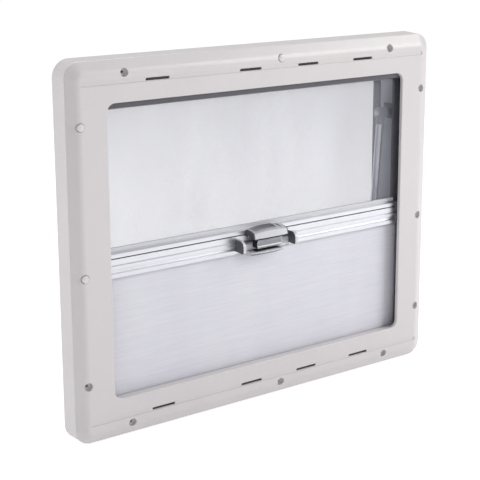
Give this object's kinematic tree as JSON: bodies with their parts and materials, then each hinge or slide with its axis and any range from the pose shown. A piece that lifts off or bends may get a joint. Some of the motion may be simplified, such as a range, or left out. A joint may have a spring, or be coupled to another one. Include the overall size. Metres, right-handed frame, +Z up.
{
  "type": "window sash with blind cassette",
  "caption": "Top-hung double acrylic window with a bevelled interior frame, fly screen and roller blind latched at mid height, telescopic stays and sash catches.",
  "frame": {"origin": "centre of the interior frame, on the inner surface of the wall", "axes": "+X along the window to the right seen from the room, +Y out of doors, +Z up"},
  "size_m": [0.645, 0.1145, 0.54],
  "materials": {
    "frame_plastic": "satin off-white moulding",
    "outer_frame_plastic": "light grey, fine texture",
    "sealing_tape": "closed-cell foam tape",
    "seal_rubber": "matt extruded rubber",
    "clear_acrylic": "clear polished acrylic",
    "border_black": "bonded border strip",
    "aluminium": "bright drawn extrusion, fine lengthwise lines",
    "steel": "zinc plated",
    "dark_plastic": "dark grey moulded",
    "grey_plastic": "mid grey moulded",
    "latch_plastic": "light grey, softly glossy",
    "fly_mesh": "fine open fly mesh",
    "blind_cloth": "coated blind cloth with faint cross lines",
    "pile": "dark brush pile"
  },
  "bodies": {
    "frame": {"inner_frame": "frame_plastic", "screw_caps": "frame_plastic", "frame_screws": "steel", "outer_frame": "outer_frame_plastic", "wall_seal": "sealing_tape", "sash_gasket": "seal_rubber", "hinge_rail": "aluminium", "guide_rail_left": "dark_plastic", "guide_rail_right": "dark_plastic", "guide_pile": "pile", "screen_cassette": "dark_plastic", "blind_cassette": "dark_plastic", "screen_cassette_caps": "dark_plastic", "blind_cassette_caps": "dark_plastic", "stay_frame_brackets": "grey_plastic", "stay_pivot_pins": "steel", "catch_keepers": "dark_plastic", "screen_mesh": "fly_mesh", "blind_fabric": "blind_cloth"},
    "sash": {"pane_inner": "clear_acrylic", "pane_outer": "clear_acrylic", "pane_spacer": "border_black", "sash_hinge_profile": "aluminium", "stay_sash_lugs": "grey_plastic", "catch_bases": "dark_plastic"},
    "catch_left": {"catch_lever_left": "dark_plastic"},
    "catch_right": {"catch_lever_right": "dark_plastic"},
    "stay_left": {"stay_tube_left": "aluminium", "stay_head_left": "grey_plastic", "stay_collar_left": "grey_plastic"},
    "stay_left_rod": {"stay_rod_left": "aluminium", "stay_foot_left": "grey_plastic"},
    "stay_right": {"stay_tube_right": "aluminium", "stay_head_right": "grey_plastic", "stay_collar_right": "grey_plastic"},
    "stay_right_rod": {"stay_rod_right": "aluminium", "stay_foot_right": "grey_plastic"},
    "screen_bar": {"screen_bar": "aluminium", "screen_welt": "aluminium", "screen_bar_guides": "latch_plastic", "screen_grip": "latch_plastic", "grip_side_plates": "dark_plastic"},
    "blind_bar": {"blind_bar": "aluminium", "front_rail_left": "aluminium", "front_rail_right": "aluminium", "blind_bar_guides": "latch_plastic", "latch_cheeks": "dark_plastic", "latch_housing": "latch_plastic", "blind_flap": "latch_plastic"},
    "latch_lever": {"latch_lever": "latch_plastic"},
    "screen_roller": {"screen_roller_tube": "aluminium", "screen_wound": "fly_mesh", "screen_roller_plugs": "dark_plastic"},
    "blind_roller": {"blind_roller_tube": "aluminium", "blind_wound": "blind_cloth", "blind_roller_plugs": "dark_plastic"}
  },
  "joints": [
    {"name": "sash_hinge", "type": "hinge", "parent": "frame", "child": "sash", "pos_m": [0, 0.0465, 0.226], "axis": [1, 0, 0], "range_deg": [0, 50]},
    {"name": "stay_left_swing", "type": "hinge", "parent": "frame", "child": "stay_left", "pos_m": [-0.258, 0.005, 0.141], "axis": [1, 0, 0], "range_deg": [0, 56.89]},
    {"name": "stay_left_slide", "type": "slide", "parent": "stay_left", "child": "stay_left_rod", "axis": [0, 0.0765, -0.9971], "range_m": [0, 0.0689]},
    {"name": "catch_left_turn", "type": "hinge", "parent": "sash", "child": "catch_left", "pos_m": [-0.15, 0.0065, -0.19], "axis": [0, 1, 0], "range_deg": [0, 90]},
    {"name": "stay_right_swing", "type": "hinge", "parent": "frame", "child": "stay_right", "pos_m": [0.258, 0.005, 0.141], "axis": [1, 0, 0], "range_deg": [0, 56.89]},
    {"name": "stay_right_slide", "type": "slide", "parent": "stay_right", "child": "stay_right_rod", "axis": [0, 0.0765, -0.9971], "range_m": [0, 0.0689]},
    {"name": "catch_right_turn", "type": "hinge", "parent": "sash", "child": "catch_right", "pos_m": [0.15, 0.0065, -0.19], "axis": [0, -1, 0], "range_deg": [0, 90]},
    {"name": "screen_slide", "type": "slide", "parent": "frame", "child": "screen_bar", "axis": [0, 0, 1], "range_m": [0, 0.1936], "deforming": ["screen_mesh"]},
    {"name": "blind_slide", "type": "slide", "parent": "frame", "child": "blind_bar", "axis": [0, 0, -1], "range_m": [0, 0.1659], "deforming": ["blind_fabric"]},
    {"name": "screen_roll", "type": "hinge", "parent": "frame", "child": "screen_roller", "pos_m": [0, -0.0122, 0.2163], "axis": [-1, 0, 0], "range_deg": [0, 1427.1]},
    {"name": "blind_roll", "type": "hinge", "parent": "frame", "child": "blind_roller", "pos_m": [0, -0.0122, -0.2267], "axis": [1, 0, 0], "range_deg": [0, 1223.6]},
    {"name": "latch_press", "type": "hinge", "parent": "blind_bar", "child": "latch_lever", "pos_m": [0, -0.034, -0.0223], "axis": [1, 0, 0], "range_deg": [0, 6], "stiffness_Nm_per_rad": 0.6}
  ],
  "couplings": [
    {"joint": "stay_left_swing", "follows": "sash_hinge", "ratio": 1.1318},
    {"joint": "stay_left_slide", "follows": "sash_hinge", "m_per_rad": 0.078416},
    {"joint": "stay_right_swing", "follows": "sash_hinge", "ratio": 1.1318},
    {"joint": "stay_right_slide", "follows": "sash_hinge", "m_per_rad": 0.078416},
    {"joint": "screen_roll", "follows": "screen_slide", "rad_per_m": 128.21},
    {"joint": "blind_roll", "follows": "blind_slide", "rad_per_m": 128.21}
  ]
}
